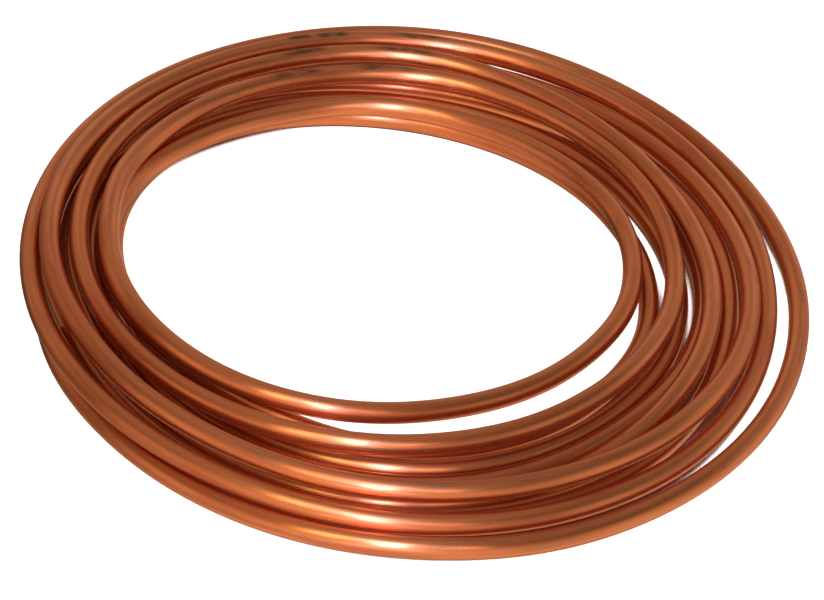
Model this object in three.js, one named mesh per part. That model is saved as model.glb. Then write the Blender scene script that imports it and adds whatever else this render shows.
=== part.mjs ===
// A loose coil of soft copper tube, as cut from a mill length and sold by the coil.
// Units are millimetres, +Z is up, and the coil lies flat on the plane z = 0.
// It is one drawn tube: an annular section swept along one continuous route, with a
// square-cut open end at each end of the route.
import * as THREE from 'three';

// Driving dimensions
const TUBE_OD = 15.875;           // outside diameter of the tube
const WALL = 0.889;               // wall thickness
const OUTER_SIDES = 10;           // flats round the outside of the section
const BORE_SIDES = 6;             // flats round the bore
const STATIONS_PER_TURN = 30;     // sections cut in each turn, at the same bearings in every turn
const START_BEARING = 200.0;       // bearing of the outer end, degrees anticlockwise from +X
const CENTRE_X = -18.2;            // axis of the coil in the part's frame
const CENTRE_Y = -19.649;

// Route of the tube's centreline, one pair for each station, outer end first:
// RADIUS is its distance from the coil's axis and HEIGHT is its height above the floor.
const RADIUS = [
  264.91, 267.35, 269.29, 272.44, 276.39, 280.29, 283.64, 286.84, 290.05, 292.73, 295.93, 300.09, 304.90, 310.00, 315.35,
  319.81, 323.41, 326.49, 328.49, 328.87, 327.08, 322.96, 317.03, 310.11, 303.01, 295.62, 288.23, 281.58, 276.50, 272.81,
  270.36, 268.56, 267.72, 267.33, 267.27, 267.88, 269.20, 270.64, 272.19, 273.90, 276.32, 278.81, 281.44, 285.17, 290.55,
  296.85, 302.21, 306.20, 308.54, 309.01, 307.63, 304.59, 299.99, 293.98, 287.37, 280.81, 274.68, 268.44, 262.94, 257.83,
  252.71, 248.91, 247.37, 246.65, 246.97, 248.35, 249.66, 250.97, 252.65, 254.77, 257.99, 261.71, 266.26, 271.15, 275.83,
  280.26, 284.53, 288.65, 292.26, 295.16, 297.16, 298.04, 297.64, 295.91, 292.83, 288.36, 282.44, 274.97, 265.91, 256.18,
  248.16, 245.58, 246.35, 248.60, 251.29, 253.89, 255.77, 256.62, 256.91, 256.60, 255.87, 255.05, 254.74, 256.17, 260.89,
  266.57, 269.91, 270.34, 268.48, 266.77, 266.93, 268.35, 269.83, 270.57, 270.12, 268.15, 264.29, 258.02, 249.17, 239.42,
  231.41, 228.82, 229.59, 231.83, 234.53, 237.12, 239.01, 239.75, 239.79, 239.62, 239.53, 239.77, 240.97, 242.31, 244.02,
  246.30, 250.22, 256.14, 262.64, 268.97, 274.38, 277.34, 276.77, 273.65, 269.07, 263.04, 255.50, 247.95, 241.06, 235.15,
  229.85, 225.19, 221.04, 216.98, 212.72, 208.54, 205.06, 202.06, 200.16, 199.23, 199.37, 201.63, 205.77, 211.70, 217.33,
  223.79, 232.00, 239.43, 245.55, 250.24, 252.90, 252.83, 250.39, 246.19, 240.79, 234.77, 229.17, 224.55, 218.59, 214.13,
  210.41, 205.55, 199.78, 192.99, 185.15, 177.30, 170.08, 164.22, 160.65, 159.63, 160.86, 164.18, 170.01, 177.64, 184.84,
  191.80, 197.41, 201.22, 204.32, 207.44, 210.55, 213.71, 215.74, 216.53, 217.89, 220.28, 222.34, 222.46, 219.93, 214.46,
  207.10, 199.43, 192.69, 188.27, 186.16, 185.49, 185.62, 185.97, 186.43, 187.09, 188.25, 190.19, 193.66, 196.48, 198.17,
  200.94, 203.70, 207.36, 210.62, 213.68, 216.77, 220.34, 224.57, 229.24, 232.97, 233.79, 230.79, 224.49, 215.64, 205.89,
  197.90, 195.29, 196.09, 198.23, 200.49, 202.50, 204.12, 205.19, 205.62, 206.18, 207.39, 210.02, 213.98, 217.76, 221.80,
  225.98, 230.09, 233.92, 237.27, 239.89, 241.83, 243.92, 246.71, 249.30, 250.86, 250.55, 247.55, 241.25, 232.41, 222.65,
  214.66, 212.06, 212.84, 214.99, 217.25, 219.26, 220.88, 221.95, 222.34, 222.74, 223.66, 226.29, 230.87, 236.37, 242.00,
  246.87, 251.11,
];
const HEIGHT = [
  7.80, 7.80, 7.80, 7.80, 8.33, 9.12, 9.79, 9.58, 8.90, 8.53, 8.19, 7.80, 7.80, 8.33, 9.11,
  10.11, 11.60, 13.83, 16.52, 19.23, 21.35, 22.55, 22.99, 23.18, 23.52, 23.69, 23.57, 23.40, 23.46, 23.72,
  24.11, 24.51, 24.52, 23.83, 22.39, 20.37, 18.32, 16.89, 15.50, 14.18, 12.68, 11.46, 10.83, 11.01, 11.98,
  13.79, 16.02, 18.60, 21.40, 24.14, 26.64, 28.78, 30.35, 31.21, 31.81, 32.50, 33.37, 33.95, 34.47, 34.95,
  35.32, 35.32, 34.74, 34.08, 33.12, 31.79, 30.70, 29.79, 28.83, 27.92, 26.66, 25.21, 23.52, 21.74, 20.03,
  18.50, 17.16, 16.08, 15.10, 14.17, 13.20, 12.15, 11.02, 9.93, 8.99, 8.29, 7.80, 7.80, 7.80, 7.80,
  7.80, 7.80, 7.80, 7.80, 7.80, 7.80, 7.80, 7.80, 7.80, 7.80, 7.80, 7.80, 8.11, 8.45, 8.77,
  8.83, 8.49, 8.14, 7.91, 7.80, 7.80, 7.80, 7.80, 7.80, 7.80, 7.80, 7.80, 7.80, 7.80, 7.80,
  7.80, 7.80, 7.80, 7.80, 7.80, 7.80, 7.80, 7.99, 9.43, 12.49, 17.02, 21.44, 23.71, 24.75, 24.88,
  24.57, 24.57, 25.42, 26.82, 28.74, 30.95, 32.46, 32.52, 32.08, 32.03, 32.16, 32.09, 32.21, 32.45, 32.73,
  32.89, 32.79, 32.41, 31.98, 31.68, 31.39, 30.88, 30.44, 29.77, 29.12, 28.58, 27.82, 26.93, 26.00, 25.19,
  24.98, 25.43, 25.89, 26.50, 27.52, 28.79, 29.83, 30.94, 32.42, 34.31, 36.44, 38.78, 40.91, 41.62, 41.68,
  41.44, 40.63, 39.28, 37.32, 35.03, 32.60, 30.35, 28.31, 26.30, 24.45, 23.14, 22.48, 22.15, 22.11, 22.56,
  23.36, 23.97, 24.01, 23.78, 23.79, 24.03, 24.48, 24.05, 22.61, 21.80, 22.25, 23.31, 24.20, 24.69, 24.89,
  25.02, 25.11, 24.36, 21.47, 17.16, 13.18, 10.20, 8.47, 7.80, 7.80, 8.14, 8.75, 9.16, 9.38, 9.44,
  9.11, 8.57, 8.40, 8.26, 8.09, 7.80, 7.80, 7.80, 7.80, 7.80, 7.80, 7.80, 7.80, 7.80, 7.80,
  7.80, 7.80, 7.80, 7.80, 7.80, 7.80, 7.80, 7.80, 7.80, 7.80, 7.80, 7.80, 7.80, 7.80, 7.80,
  7.80, 8.01, 8.33, 8.62, 8.58, 8.12, 7.80, 7.80, 7.80, 7.80, 7.80, 7.80, 7.80, 7.80, 7.80,
  7.80, 7.80, 7.80, 7.80, 7.80, 7.80, 7.80, 8.21, 9.06, 10.38, 11.65, 11.44, 10.25, 9.09, 8.25,
  7.80, 7.80,
];

// A regular section of the same area as the circle it stands for, with a flat facing
// straight down and another straight up.
function ring(sides, diameter) {
  const a = (2 * Math.PI) / sides;
  const radius = (diameter / 2) * Math.sqrt(a / Math.sin(a));
  const points = [];
  for (let i = 0; i < sides; i++) {
    const t = a * (i + 0.5) - Math.PI / 2;
    points.push(new THREE.Vector2(radius * Math.cos(t), radius * Math.sin(t)));
  }
  return points;
}

function section() {
  const shape = new THREE.Shape(ring(OUTER_SIDES, TUBE_OD));
  shape.holes.push(new THREE.Path(ring(BORE_SIDES, TUBE_OD - 2 * WALL).reverse()));
  return shape;
}

// The centreline as a curve that hands out its own stations, so that the sections of
// neighbouring turns stand at the same bearings and stay clear of each other.
class CoilRoute extends THREE.Curve {
  constructor() {
    super();
    this.stations = RADIUS.map((r, i) => {
      const bearing = this.bearing(i);
      return new THREE.Vector3(
        CENTRE_X + r * Math.cos(bearing),
        CENTRE_Y + r * Math.sin(bearing),
        HEIGHT[i],
      );
    });
  }

  bearing(i) {
    return THREE.MathUtils.degToRad(START_BEARING + (360 / STATIONS_PER_TURN) * i);
  }

  getPoint(t, target = new THREE.Vector3()) {
    const last = this.stations.length - 1;
    const s = THREE.MathUtils.clamp(t, 0, 1) * last;
    const i = Math.min(Math.floor(s), last - 1);
    return target.lerpVectors(this.stations[i], this.stations[i + 1], s - i);
  }

  getSpacedPoints() {
    return this.stations;
  }

  // Sections stand upright and square to the coil's circle, so they never twist.
  computeFrenetFrames() {
    const tangents = [];
    const normals = [];
    const binormals = [];
    this.stations.forEach((_, i) => {
      const b = this.bearing(i);
      tangents.push(new THREE.Vector3(-Math.sin(b), Math.cos(b), 0));
      normals.push(new THREE.Vector3(-Math.cos(b), -Math.sin(b), 0));
      binormals.push(new THREE.Vector3(0, 0, 1));
    });
    return { tangents, normals, binormals };
  }
}

const copper = new THREE.MeshStandardMaterial({
  name: 'drawn_copper',
  color: 0xb4633c,
  roughness: 0.28,
  metalness: 1.0,
});

const route = new CoilRoute();
const tube = new THREE.Mesh(
  new THREE.ExtrudeGeometry(section(), {
    steps: route.stations.length - 1,
    extrudePath: route,
    bevelEnabled: false,
  }),
  copper,
);
tube.name = 'copper_tube';

const coil = new THREE.Group();
coil.name = 'copper_tube_coil';
coil.add(tube);

export default coil;
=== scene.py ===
import math

import bpy
import numpy as np
from mathutils import Matrix, Vector


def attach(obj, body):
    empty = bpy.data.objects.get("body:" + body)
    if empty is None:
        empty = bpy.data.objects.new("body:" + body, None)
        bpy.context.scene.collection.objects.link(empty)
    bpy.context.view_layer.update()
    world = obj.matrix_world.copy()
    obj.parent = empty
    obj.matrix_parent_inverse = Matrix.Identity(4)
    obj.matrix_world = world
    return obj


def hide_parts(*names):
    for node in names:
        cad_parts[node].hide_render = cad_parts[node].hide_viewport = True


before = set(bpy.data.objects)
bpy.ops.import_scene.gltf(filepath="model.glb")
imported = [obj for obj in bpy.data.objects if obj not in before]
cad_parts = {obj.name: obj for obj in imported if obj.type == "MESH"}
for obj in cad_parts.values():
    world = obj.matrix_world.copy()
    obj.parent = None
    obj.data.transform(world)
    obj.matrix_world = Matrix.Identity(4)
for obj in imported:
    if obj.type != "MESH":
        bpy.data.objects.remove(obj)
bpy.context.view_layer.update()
scene = bpy.context.scene

# ------------------------------------------------------------------ dimensions, metres
TUBE_OD = 0.015875
WALL = 0.000889
FLAT = 0.007805  # half the height of the CAD section, which stands on a flat
STATIONS_PER_TURN = 30
START_BEARING = 200.0
CENTRE = (-18.2 / 1000, -19.649 / 1000)
OUTER_SIDES = 48
BORE_SIDES = 24
FINE = 5  # rings between two stations of the route

# Route of the centreline, millimetres, one pair for each station, outer end first.
RADIUS = [
    264.91, 267.35, 269.29, 272.44, 276.39, 280.29, 283.64, 286.84, 290.05, 292.73, 295.93, 300.09, 304.90, 310.00, 315.35,
    319.81, 323.41, 326.49, 328.49, 328.87, 327.08, 322.96, 317.03, 310.11, 303.01, 295.62, 288.23, 281.58, 276.50, 272.81,
    270.36, 268.56, 267.72, 267.33, 267.27, 267.88, 269.20, 270.64, 272.19, 273.90, 276.32, 278.81, 281.44, 285.17, 290.55,
    296.85, 302.21, 306.20, 308.54, 309.01, 307.63, 304.59, 299.99, 293.98, 287.37, 280.81, 274.68, 268.44, 262.94, 257.83,
    252.71, 248.91, 247.37, 246.65, 246.97, 248.35, 249.66, 250.97, 252.65, 254.77, 257.99, 261.71, 266.26, 271.15, 275.83,
    280.26, 284.53, 288.65, 292.26, 295.16, 297.16, 298.04, 297.64, 295.91, 292.83, 288.36, 282.44, 274.97, 265.91, 256.18,
    248.16, 245.58, 246.35, 248.60, 251.29, 253.89, 255.77, 256.62, 256.91, 256.60, 255.87, 255.05, 254.74, 256.17, 260.89,
    266.57, 269.91, 270.34, 268.48, 266.77, 266.93, 268.35, 269.83, 270.57, 270.12, 268.15, 264.29, 258.02, 249.17, 239.42,
    231.41, 228.82, 229.59, 231.83, 234.53, 237.12, 239.01, 239.75, 239.79, 239.62, 239.53, 239.77, 240.97, 242.31, 244.02,
    246.30, 250.22, 256.14, 262.64, 268.97, 274.38, 277.34, 276.77, 273.65, 269.07, 263.04, 255.50, 247.95, 241.06, 235.15,
    229.85, 225.19, 221.04, 216.98, 212.72, 208.54, 205.06, 202.06, 200.16, 199.23, 199.37, 201.63, 205.77, 211.70, 217.33,
    223.79, 232.00, 239.43, 245.55, 250.24, 252.90, 252.83, 250.39, 246.19, 240.79, 234.77, 229.17, 224.55, 218.59, 214.13,
    210.41, 205.55, 199.78, 192.99, 185.15, 177.30, 170.08, 164.22, 160.65, 159.63, 160.86, 164.18, 170.01, 177.64, 184.84,
    191.80, 197.41, 201.22, 204.32, 207.44, 210.55, 213.71, 215.74, 216.53, 217.89, 220.28, 222.34, 222.46, 219.93, 214.46,
    207.10, 199.43, 192.69, 188.27, 186.16, 185.49, 185.62, 185.97, 186.43, 187.09, 188.25, 190.19, 193.66, 196.48, 198.17,
    200.94, 203.70, 207.36, 210.62, 213.68, 216.77, 220.34, 224.57, 229.24, 232.97, 233.79, 230.79, 224.49, 215.64, 205.89,
    197.90, 195.29, 196.09, 198.23, 200.49, 202.50, 204.12, 205.19, 205.62, 206.18, 207.39, 210.02, 213.98, 217.76, 221.80,
    225.98, 230.09, 233.92, 237.27, 239.89, 241.83, 243.92, 246.71, 249.30, 250.86, 250.55, 247.55, 241.25, 232.41, 222.65,
    214.66, 212.06, 212.84, 214.99, 217.25, 219.26, 220.88, 221.95, 222.34, 222.74, 223.66, 226.29, 230.87, 236.37, 242.00,
    246.87, 251.11,
]
HEIGHT = [
    7.80, 7.80, 7.80, 7.80, 8.33, 9.12, 9.79, 9.58, 8.90, 8.53, 8.19, 7.80, 7.80, 8.33, 9.11,
    10.11, 11.60, 13.83, 16.52, 19.23, 21.35, 22.55, 22.99, 23.18, 23.52, 23.69, 23.57, 23.40, 23.46, 23.72,
    24.11, 24.51, 24.52, 23.83, 22.39, 20.37, 18.32, 16.89, 15.50, 14.18, 12.68, 11.46, 10.83, 11.01, 11.98,
    13.79, 16.02, 18.60, 21.40, 24.14, 26.64, 28.78, 30.35, 31.21, 31.81, 32.50, 33.37, 33.95, 34.47, 34.95,
    35.32, 35.32, 34.74, 34.08, 33.12, 31.79, 30.70, 29.79, 28.83, 27.92, 26.66, 25.21, 23.52, 21.74, 20.03,
    18.50, 17.16, 16.08, 15.10, 14.17, 13.20, 12.15, 11.02, 9.93, 8.99, 8.29, 7.80, 7.80, 7.80, 7.80,
    7.80, 7.80, 7.80, 7.80, 7.80, 7.80, 7.80, 7.80, 7.80, 7.80, 7.80, 7.80, 8.11, 8.45, 8.77,
    8.83, 8.49, 8.14, 7.91, 7.80, 7.80, 7.80, 7.80, 7.80, 7.80, 7.80, 7.80, 7.80, 7.80, 7.80,
    7.80, 7.80, 7.80, 7.80, 7.80, 7.80, 7.80, 7.99, 9.43, 12.49, 17.02, 21.44, 23.71, 24.75, 24.88,
    24.57, 24.57, 25.42, 26.82, 28.74, 30.95, 32.46, 32.52, 32.08, 32.03, 32.16, 32.09, 32.21, 32.45, 32.73,
    32.89, 32.79, 32.41, 31.98, 31.68, 31.39, 30.88, 30.44, 29.77, 29.12, 28.58, 27.82, 26.93, 26.00, 25.19,
    24.98, 25.43, 25.89, 26.50, 27.52, 28.79, 29.83, 30.94, 32.42, 34.31, 36.44, 38.78, 40.91, 41.62, 41.68,
    41.44, 40.63, 39.28, 37.32, 35.03, 32.60, 30.35, 28.31, 26.30, 24.45, 23.14, 22.48, 22.15, 22.11, 22.56,
    23.36, 23.97, 24.01, 23.78, 23.79, 24.03, 24.48, 24.05, 22.61, 21.80, 22.25, 23.31, 24.20, 24.69, 24.89,
    25.02, 25.11, 24.36, 21.47, 17.16, 13.18, 10.20, 8.47, 7.80, 7.80, 8.14, 8.75, 9.16, 9.38, 9.44,
    9.11, 8.57, 8.40, 8.26, 8.09, 7.80, 7.80, 7.80, 7.80, 7.80, 7.80, 7.80, 7.80, 7.80, 7.80,
    7.80, 7.80, 7.80, 7.80, 7.80, 7.80, 7.80, 7.80, 7.80, 7.80, 7.80, 7.80, 7.80, 7.80, 7.80,
    7.80, 8.01, 8.33, 8.62, 8.58, 8.12, 7.80, 7.80, 7.80, 7.80, 7.80, 7.80, 7.80, 7.80, 7.80,
    7.80, 7.80, 7.80, 7.80, 7.80, 7.80, 7.80, 8.21, 9.06, 10.38, 11.65, 11.44, 10.25, 9.09, 8.25,
    7.80, 7.80,
]


def spline(values, per):
    """Values of the natural cubic spline through evenly spaced values, per steps in each gap."""
    y = np.array(values, float)
    n = len(y)
    a = np.zeros((n, n))
    b = np.zeros(n)
    a[0, 0] = a[-1, -1] = 1
    for i in range(1, n - 1):
        a[i, i - 1 : i + 2] = (1, 4, 1)
        b[i] = 6 * (y[i - 1] - 2 * y[i] + y[i + 1])
    m = np.linalg.solve(a, b)
    t = np.arange((n - 1) * per + 1) / per
    i = np.minimum(t.astype(int), n - 2)
    f = t - i
    return (
        m[i] * (1 - f) ** 3 / 6
        + m[i + 1] * f**3 / 6
        + (y[i] - m[i] / 6) * (1 - f)
        + (y[i + 1] - m[i + 1] / 6) * f
    )


def route():
    """Points of the centreline and their bearings."""
    r = spline(RADIUS, FINE) / 1000
    z = spline(HEIGHT, FINE) / 1000
    z = np.maximum(z, FLAT) + TUBE_OD / 2 - FLAT
    bearing = np.radians(
        START_BEARING + 360 / STATIONS_PER_TURN / FINE * np.arange(len(r))
    )
    pts = np.stack(
        [CENTRE[0] + r * np.cos(bearing), CENTRE[1] + r * np.sin(bearing), z], -1
    )
    return pts, bearing


# ------------------------------------------------------------------ the tube
def build_tube():
    pts, bearing = route()
    # Square-cut ends whose rims are turned in a little by the cutter.
    tangent = np.gradient(pts, axis=0)
    tangent /= np.linalg.norm(tangent, axis=1)[:, None]
    steps = np.linalg.norm(np.diff(pts, axis=0), axis=1)
    along = np.concatenate([[0], np.cumsum(steps)])
    total = along[-1]

    def at(s):
        return np.array([np.interp(s, along, pts[:, k]) for k in range(3)])

    rim = [0.0, 0.00025, 0.0006, 0.0011, 0.0030]
    drop = [0.00034, 0.00015, 0.00005, 0.0, 0.0]
    s_all, cut = [], []
    for s, d in zip(rim, drop):
        s_all.append(s)
        cut.append(d)
    for s in along:
        if 0.0045 < s < total - 0.0045:
            s_all.append(s)
            cut.append(0.0)
    for s, d in zip(reversed(rim), reversed(drop)):
        s_all.append(total - s)
        cut.append(d)
    s_all = np.array(s_all)
    cut = np.array(cut)
    centre = np.stack([np.interp(s_all, along, pts[:, k]) for k in range(3)], -1)
    tang = np.stack([np.interp(s_all, along, tangent[:, k]) for k in range(3)], -1)
    tang /= np.linalg.norm(tang, axis=1)[:, None]
    up = np.array([0.0, 0.0, 1.0])
    side = np.cross(tang, up)  # points away from the coil's axis
    side /= np.linalg.norm(side, axis=1)[:, None]
    top = np.cross(side, tang)

    # The tube is a hair out of round where it was bent, and its outside wanders by a
    # few hundredths of a millimetre.
    s = s_all
    oval = 0.00006 + 0.00005 * np.sin(s * 2.1 + 0.7) * np.sin(s * 0.63)
    wob_a = 0.00009 * np.sin(s * 9.7 + 1.3 * np.sin(s * 3.1)) * np.sin(s * 2.3 + 0.4)
    wob_b = 0.00009 * np.sin(s * 8.1 + 0.9 + 1.1 * np.sin(s * 2.7)) * np.sin(s * 1.9)

    def ring(radius, sides, extra):
        a = 2 * math.pi * np.arange(sides) / sides
        rad = radius - extra[:, None] - oval[:, None] * np.cos(2 * a)[None, :]
        return (
            centre[:, None, :]
            + (rad * np.cos(a)[None, :] + wob_a[:, None])[..., None] * side[:, None, :]
            + (rad * np.sin(a)[None, :] + wob_b[:, None])[..., None]
            * top[:, None, :]
        ), a

    outer, ao = ring(TUBE_OD / 2, OUTER_SIDES, cut)
    pick = np.unique(
        np.concatenate(
            [np.arange(0, 5), np.arange(5, len(s_all) - 5, 4), np.arange(len(s_all) - 5, len(s_all))]
        )
    )
    bore_full, ab = ring(TUBE_OD / 2 - WALL, BORE_SIDES, cut * 1.6)
    bore = bore_full[pick]

    # The lowest turns bear on the floor.
    outer[..., 2] = np.maximum(outer[..., 2], 0.0)
    verts = np.concatenate([outer.reshape(-1, 3), bore.reshape(-1, 3)])
    no = len(outer) * OUTER_SIDES
    faces = []
    uvs = []  # one pair for each corner: metres along, share of the way round
    n, m = len(outer), len(bore)
    for i in range(n - 1):
        for k in range(OUTER_SIDES):
            k2 = (k + 1) % OUTER_SIDES
            faces.append(
                (
                    i * OUTER_SIDES + k,
                    (i + 1) * OUTER_SIDES + k,
                    (i + 1) * OUTER_SIDES + k2,
                    i * OUTER_SIDES + k2,
                )
            )
    for i in range(m - 1):
        for k in range(BORE_SIDES):
            k2 = (k + 1) % BORE_SIDES
            faces.append(
                (
                    no + i * BORE_SIDES + k,
                    no + i * BORE_SIDES + k2,
                    no + (i + 1) * BORE_SIDES + k2,
                    no + (i + 1) * BORE_SIDES + k,
                )
            )
    # The cut faces: two outer sides meet one bore side.
    step = OUTER_SIDES // BORE_SIDES
    for first in (True, False):
        bo = 0 if first else (n - 1) * OUTER_SIDES
        bi = no + (0 if first else (m - 1) * BORE_SIDES)
        for k in range(BORE_SIDES):
            o = [bo + (k * step + j) % OUTER_SIDES for j in range(step + 1)]
            q = [bi + k, bi + (k + 1) % BORE_SIDES]
            f = q + o[::-1] if not first else [q[1], q[0]] + o
            faces.append(tuple(f))

    mesh = bpy.data.meshes.new("drawn_tube")
    mesh.from_pydata([tuple(v) for v in verts], [], faces)
    mesh.update()
    smooth = np.ones(len(faces), bool)
    smooth[-2 * BORE_SIDES :] = False
    mesh.polygons.foreach_set("use_smooth", smooth)

    co = np.zeros((len(verts), 3), np.float32)
    co[:no, 0] = np.tile(np.cos(ao), n)
    co[:no, 1] = np.tile(np.sin(ao), n)
    co[:no, 2] = np.repeat(s_all, OUTER_SIDES)
    co[no:, 0] = np.tile(np.cos(ab), m) * 0.9
    co[no:, 1] = np.tile(np.sin(ab), m) * 0.9
    co[no:, 2] = np.repeat(s_all[pick], BORE_SIDES)
    layer = mesh.attributes.new("tube_co", "FLOAT_VECTOR", "POINT")
    layer.data.foreach_set("vector", co.ravel())

    # U runs along the tube and V round it, for the grain of the metal.
    loops = np.zeros(len(mesh.loops), np.int32)
    mesh.loops.foreach_get("vertex_index", loops)
    share_outer = np.tile(np.arange(OUTER_SIDES) / OUTER_SIDES, n)
    share_bore = np.tile(np.arange(BORE_SIDES) / BORE_SIDES, m)
    share = np.concatenate([share_outer, share_bore])[loops]
    starts = np.zeros(len(faces), np.int32)
    mesh.polygons.foreach_get("loop_start", starts)
    sizes = np.diff(np.append(starts, len(loops)))
    face_of = np.repeat(np.arange(len(faces)), sizes)
    high = np.zeros(len(faces))
    np.maximum.at(high, face_of, share)
    share = np.where((high[face_of] > 0.75) & (share < 0.25), share + 1, share)
    uv = np.stack([co[loops, 2] * 4.0, share], -1).astype(np.float32)
    mesh.uv_layers.new(name="Drawn").data.foreach_set("uv", uv.ravel())

    obj = bpy.data.objects.new("copper_tube_skin", mesh)
    scene.collection.objects.link(obj)
    return obj, total


tube, tube_length = build_tube()


# ------------------------------------------------------------------ copper
class Nodes:
    """A material's or a world's node tree, built from nothing."""

    def __init__(self, owner):
        self.mat = owner
        owner.use_nodes = True
        self.tree = owner.node_tree
        self.tree.nodes.clear()

    def new(self, kind, **inputs):
        node = self.tree.nodes.new(kind)
        for key, value in inputs.items():
            self.put(node, key, value)
        return node

    def put(self, node, key, value):
        socket = node.inputs[int(key[1:])] if key[0] == "_" and key[1:].isdigit() else node.inputs[key.replace("_", " ")]
        if isinstance(value, bpy.types.NodeSocket):
            self.tree.links.new(value, socket)
        else:
            socket.default_value = value

    def math(self, op, a, b=0.0, clamp=False):
        node = self.tree.nodes.new("ShaderNodeMath")
        node.operation = op
        node.use_clamp = clamp
        self.put(node, "_0", a)
        self.put(node, "_1", b)
        return node.outputs[0]

    def ramp(self, value, low, high, to_low=0.0, to_high=1.0):
        node = self.tree.nodes.new("ShaderNodeMapRange")
        node.interpolation_type = "SMOOTHSTEP"
        self.put(node, "_0", value)
        self.put(node, "_1", low)
        self.put(node, "_2", high)
        self.put(node, "_3", to_low)
        self.put(node, "_4", to_high)
        return node.outputs[0]

    def scaled(self, vector, x, y, z, shift=(0, 0, 0)):
        node = self.tree.nodes.new("ShaderNodeMapping")
        self.put(node, "_0", vector)
        node.inputs["Scale"].default_value = (x, y, z)
        node.inputs["Location"].default_value = shift
        return node.outputs[0]

    def noise(self, vector, scale, detail=2.0, rough=0.5, distort=0.0):
        node = self.tree.nodes.new("ShaderNodeTexNoise")
        self.put(node, "Vector", vector)
        node.inputs["Scale"].default_value = scale
        node.inputs["Detail"].default_value = detail
        node.inputs["Roughness"].default_value = rough
        node.inputs["Distortion"].default_value = distort
        return node.outputs[0]

    def mix(self, factor, a, b):
        node = self.tree.nodes.new("ShaderNodeMix")
        node.data_type = "RGBA"
        self.put(node, "_0", factor)
        for key, value in (("_6", a), ("_7", b)):
            self.put(node, key, value)
        return node.outputs[2]


# Painted dark reflection: metres along the tube to the middle of each patch, and half its length.
DARK_REFLECTION_PATCHES = [
    (3.115, 0.022),
    (3.188, 0.014),
    (3.216, 0.010),
    (8.064, 0.024),
    (8.151, 0.018),
    (9.540, 0.024),
    (9.616, 0.022),
]


def copper_material():
    n = Nodes(bpy.data.materials.new("drawn_copper"))
    around = n.new("ShaderNodeAttribute")
    around.attribute_name = "tube_co"
    tube_co = around.outputs["Vector"]

    # Draw marks: long soft lines that run with the tube.
    fine = n.noise(n.scaled(tube_co, 11, 11, 1.3), 1.0, 3.0, 0.6)
    lines = n.noise(n.scaled(tube_co, 3.2, 3.2, 0.9, (3.1, 1.7, 0)), 1.0, 3.0, 0.55)
    # Handling film: broad patches a hand long.
    film = n.noise(n.scaled(tube_co, 0.9, 0.9, 7.0, (0.3, 5.2, 1.0)), 1.0, 3.0, 0.55, 0.4)
    cloud = n.noise(n.scaled(tube_co, 1.3, 1.3, 19.0, (7.3, 2.2, 4.0)), 1.0, 4.0, 0.6, 0.6)

    clean = (0.75, 0.315, 0.160, 1)
    warm = (0.70, 0.250, 0.108, 1)
    red = (0.61, 0.190, 0.092, 1)
    brown = (0.38, 0.185, 0.112, 1)
    c1 = n.mix(n.ramp(lines, 0.30, 0.70), warm, clean)
    c2 = n.mix(n.ramp(film, 0.46, 0.68, 0.0, 0.75), c1, red)
    c3 = n.mix(n.ramp(fine, 0.52, 0.72, 0.0, 0.22), c2, (0.56, 0.185, 0.084, 1))
    colour = n.mix(n.ramp(cloud, 0.54, 0.74, 0.0, 0.70), c3, brown)

    # Painted dark reflection: dark patches along the tops of the highest turns, where the dark reflected band
    # lies.
    parts = n.new("ShaderNodeSeparateXYZ", _0=tube_co)
    dark_reflection = 0.0
    for middle, half in DARK_REFLECTION_PATCHES:
        away = n.math("ABSOLUTE", n.math("SUBTRACT", parts.outputs["Z"], middle))
        dark_reflection = n.math("ADD", dark_reflection, n.ramp(away, half * 0.5, half * 1.35, 1.0, 0.0))
    # Only the top of the tube is darkened, where the painted dark reflection falls.
    dark_reflection = n.math("MULTIPLY", dark_reflection, n.ramp(parts.outputs["Y"], 0.80, 0.95))
    patchy = n.noise(n.scaled(tube_co, 1.6, 1.6, 55.0, (2.0, 4.0, 1.0)), 1.0, 3.0, 0.6, 0.5)
    dark_reflection = n.math("MULTIPLY", dark_reflection, n.ramp(patchy, 0.34, 0.56, 0.25, 0.92), clamp=True)
    # The painted dark reflection is mottled so it reads as patches on the metal.
    colour = n.mix(dark_reflection, colour, (0.17, 0.092, 0.050, 1))

    rough = n.math("ADD", n.ramp(lines, 0.3, 0.7, 0.25, 0.31), n.ramp(film, 0.45, 0.75, 0.0, 0.06))
    rough = n.math("ADD", rough, n.ramp(cloud, 0.55, 0.8, 0.0, 0.08))

    bump = n.new("ShaderNodeBump", Height=fine)
    bump.inputs["Strength"].default_value = 0.035
    bump.inputs["Distance"].default_value = 0.0003

    shader = n.new("ShaderNodeBsdfPrincipled")
    n.put(shader, "Base Color", colour)
    shader.inputs["Metallic"].default_value = 1.0
    n.put(shader, "Roughness", rough)
    shader.inputs["Anisotropic"].default_value = 0.75
    shader.inputs["Anisotropic Rotation"].default_value = 0.25
    tangent = n.new("ShaderNodeTangent")
    tangent.direction_type = "UV_MAP"
    tangent.uv_map = "Drawn"
    n.put(shader, "Tangent", tangent.outputs[0])
    shader.inputs["Coat Weight"].default_value = 0.3
    shader.inputs["Coat Roughness"].default_value = 0.16
    n.put(shader, "Normal", bump.outputs[0])
    out = n.new("ShaderNodeOutputMaterial")
    n.tree.links.new(shader.outputs[0], out.inputs[0])
    return n.mat


copper = copper_material()
tube.data.materials.append(copper)
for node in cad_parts.values():
    node.data.materials.clear()
    node.data.materials.append(copper)

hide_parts("copper_tube")
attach(tube, "root")


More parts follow.
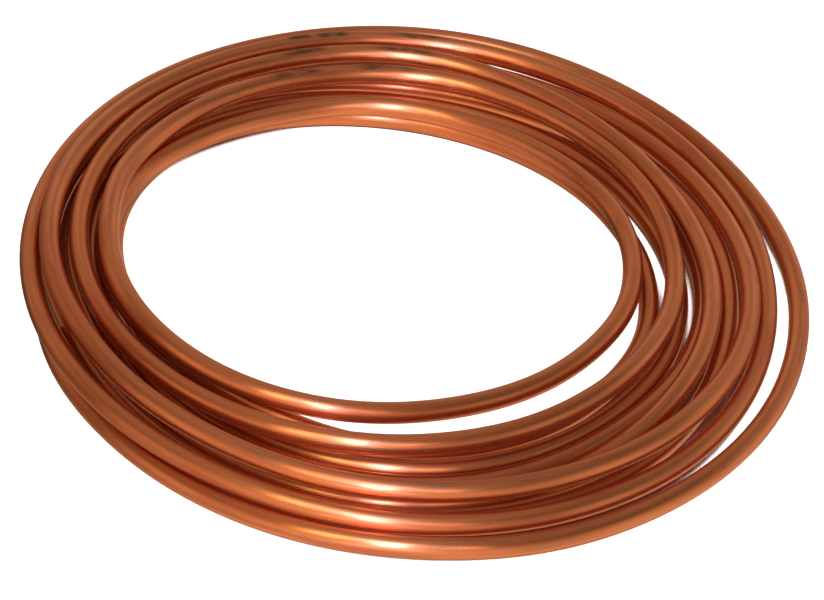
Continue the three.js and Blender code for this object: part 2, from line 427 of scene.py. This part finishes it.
# ------------------------------------------------------------------ floor
def floor_material():
    n = Nodes(bpy.data.materials.new("pale_floor"))
    coords = n.new("ShaderNodeTexCoord")
    grain = n.noise(coords.outputs["Object"], 3.0, 2.0)
    colour = n.mix(grain, (0.79, 0.79, 0.79, 1), (0.82, 0.82, 0.82, 1))
    # Painted shade: the floor in the slots between turns is painted dark red-brown, and its glow is turned
    # down, where next to no sky reaches it.
    open_sky = n.new("ShaderNodeAmbientOcclusion")
    open_sky.samples = 64
    open_sky.inputs["Distance"].default_value = 0.05
    lit = n.ramp(open_sky.outputs["AO"], 0.155, 0.195)

    def board(colour):
        shader = n.new("ShaderNodeBsdfPrincipled", Base_Color=colour)
        # It glows a little, as a light table does.
        shader.inputs["Emission Color"].default_value = (1, 1, 1, 1)
        shader.inputs["Emission Strength"].default_value = 1.0
        shader.inputs["Roughness"].default_value = 0.9
        shader.inputs["Specular IOR Level"].default_value = 0.1
        return shader

    plain = board(colour)
    # A shaded copy of the board: painted dark red-brown shade in the slots.
    painted_shade_slots = board(n.mix(lit, (0.30, 0.13, 0.07, 1), colour))
    n.put(painted_shade_slots, "Emission Strength", n.ramp(lit, 0.0, 1.0, 0.0, 1.0))
    # Only the ring of floor under the coil has slots over it, so only there is the shade painted.
    reach = n.new("ShaderNodeVectorMath")
    reach.operation = "LENGTH"
    n.put(reach, "_0", coords.outputs["Object"])
    ring = n.ramp(reach.outputs["Value"], 0.145, 0.155)
    ring = n.math("MULTIPLY", ring, n.ramp(reach.outputs["Value"], 0.340, 0.350, 1.0, 0.0))
    both = n.new("ShaderNodeMixShader")
    n.put(both, "_0", ring)
    n.tree.links.new(plain.outputs[0], both.inputs[1])
    n.tree.links.new(painted_shade_slots.outputs[0], both.inputs[2])
    out = n.new("ShaderNodeOutputMaterial")
    n.tree.links.new(both.outputs[0], out.inputs[0])
    n.mat.cycles.emission_sampling = "NONE"
    return n.mat


def build_floor():
    size, cells = 14.0, 8
    mesh = bpy.data.meshes.new("floor")
    t = np.linspace(-size / 2, size / 2, cells + 1)
    verts = [(x, y, -0.00002) for y in t for x in t]
    faces = [
        (j * (cells + 1) + i, j * (cells + 1) + i + 1, (j + 1) * (cells + 1) + i + 1, (j + 1) * (cells + 1) + i)
        for j in range(cells)
        for i in range(cells)
    ]
    mesh.from_pydata(verts, [], faces)
    mesh.materials.append(floor_material())
    obj = bpy.data.objects.new("floor", mesh)
    scene.collection.objects.link(obj)
    return obj


floor = build_floor()
floor.visible_glossy = False

# ------------------------------------------------------------------ camera
ELEVATION = math.radians(38.5)
ROLL = math.radians(6.0)
DISTANCE = 140.0 * TUBE_OD
FOCUS_PX = 20.9 * 140.0
target = Vector((CENTRE[0], CENTRE[1], TUBE_OD))
right = Vector((1, 0, 0))
above = Vector((0, math.sin(ELEVATION), math.cos(ELEVATION)))
forward = Vector((0, math.cos(ELEVATION), -math.sin(ELEVATION)))
x_axis = right * math.cos(ROLL) + above * math.sin(ROLL)
y_axis = above * math.cos(ROLL) - right * math.sin(ROLL)
data = bpy.data.cameras.new("camera")
camera = bpy.data.objects.new("camera", data)
scene.collection.objects.link(camera)
place = target - forward * DISTANCE
camera.matrix_world = Matrix(
    (
        (x_axis.x, y_axis.x, -forward.x, place.x),
        (x_axis.y, y_axis.y, -forward.y, place.y),
        (x_axis.z, y_axis.z, -forward.z, place.z),
        (0, 0, 0, 1),
    )
)
data.sensor_width = 36.0
data.lens = FOCUS_PX * 36.0 / 824
data.shift_x = 20.0 / 824
data.shift_y = -20.0 / 824
data.clip_end = 60
scene.camera = camera


# ------------------------------------------------------------------ light
def area(name, where, aim, size_x, size_y, power, colour=(1, 1, 1)):
    light = bpy.data.lights.new(name, "AREA")
    light.shape = "RECTANGLE"
    light.size = size_x
    light.size_y = size_y
    light.energy = power
    light.color = colour
    obj = bpy.data.objects.new(name, light)
    scene.collection.objects.link(obj)
    d = (Vector(aim) - Vector(where)).normalized()
    obj.rotation_euler = d.to_track_quat("-Z", "Y").to_euler()
    obj.location = where
    obj.visible_camera = False
    return obj


def polar(azimuth, elevation, distance):
    """A place seen from the coil: azimuth 270 is the camera's side, 0 is to the right."""
    a, e = math.radians(azimuth), math.radians(elevation)
    return (
        distance * math.cos(a) * math.cos(e),
        distance * math.sin(a) * math.cos(e),
        distance * math.sin(e),
    )


# A tall strip over the camera, a wide low box under it, and a weaker box on each side.
key = area("key", polar(271, 45, 2.6), (0, 0, 0), 0.24, 1.90, 20.0, (1.0, 0.90, 1.22))
low = area("low", polar(269, 8, 2.6), (0, 0, 0), 0.95, 0.62, 2.7)
left = area("left", polar(251, 52, 2.6), (0, 0, 0), 0.5, 1.6, 8.0, (1.0, 0.84, 0.44))
right = area("right", polar(290, 42, 2.6), (0, 0, 0), 0.5, 0.9, 3.2, (1.0, 0.70, 0.58))

# The tent round the coil: soft panels, each with its azimuth, elevation, brightness and
# tint. A panel fades out 44 degrees from its middle.
PLAIN, WARM = (1.13, 0.81, 0.575), (1.26, 0.80, 0.50)
PINK, AMBER = (1.26, 0.80, 0.54), (1.16, 0.70, 0.42)
PANELS = [
    (0, -60, 0.43, WARM),
    (180, -60, 0.49, WARM),
    (0, -25, 0.36, PLAIN),
    (315, -25, 0.36, PLAIN),
    (90, -25, 0.30, WARM),
    (0, 10, 0.34, PLAIN),
    (45, 10, 0.29, PLAIN),
    (90, 10, 0.22, PLAIN),
    (135, 10, 0.20, PLAIN),
    (180, 10, 0.24, AMBER),
    (225, 10, 0.40, PINK),
    (270, 10, 0.44, WARM),
    (225, -25, 0.26, PLAIN),
    (270, -25, 0.40, WARM),
    (270, -65, 0.50, WARM),
    (45, -30, 0.22, PLAIN),
    (315, 10, 0.29, PLAIN),
    (45, 35, 0.12, PLAIN),
    (90, 35, 0.13, PLAIN),
    (135, 35, 0.18, AMBER),
    (225, 35, 0.28, AMBER),
    (315, 35, 0.15, PLAIN),
    (120, 65, 0.07, PLAIN),
    (240, 65, 0.04, AMBER),
    (0, 90, 0.29, PLAIN),
]


def build_world():
    world = bpy.data.worlds.new("studio")
    scene.world = world
    n = Nodes(world)
    way = n.new("ShaderNodeTexCoord").outputs["Generated"]
    total = (0.0, 0.0, 0.0, 1.0)
    for azimuth, elevation, strength, tint in PANELS:
        facing = n.new("ShaderNodeVectorMath")
        facing.operation = "DOT_PRODUCT"
        n.put(facing, "_0", way)
        n.put(facing, "_1", polar(azimuth, elevation, 1.0))
        panel = n.ramp(facing.outputs["Value"], 0.72, 1.0)
        add = n.new("ShaderNodeMix")
        add.data_type = "RGBA"
        add.blend_type = "ADD"
        add.clamp_factor = True
        n.put(add, "_0", panel)
        n.put(add, "_6", total)
        n.put(add, "_7", tuple(strength * c for c in tint) + (1.0,))
        total = add.outputs[2]
    back = n.new("ShaderNodeBackground", Color=total)
    out = n.new("ShaderNodeOutputWorld")
    n.tree.links.new(back.outputs[0], out.inputs[0])


build_world()

scene.view_settings.view_transform = "Standard"
scene.view_settings.look = "None"
scene.view_settings.exposure = 0.0
scene.view_settings.gamma = 1.0
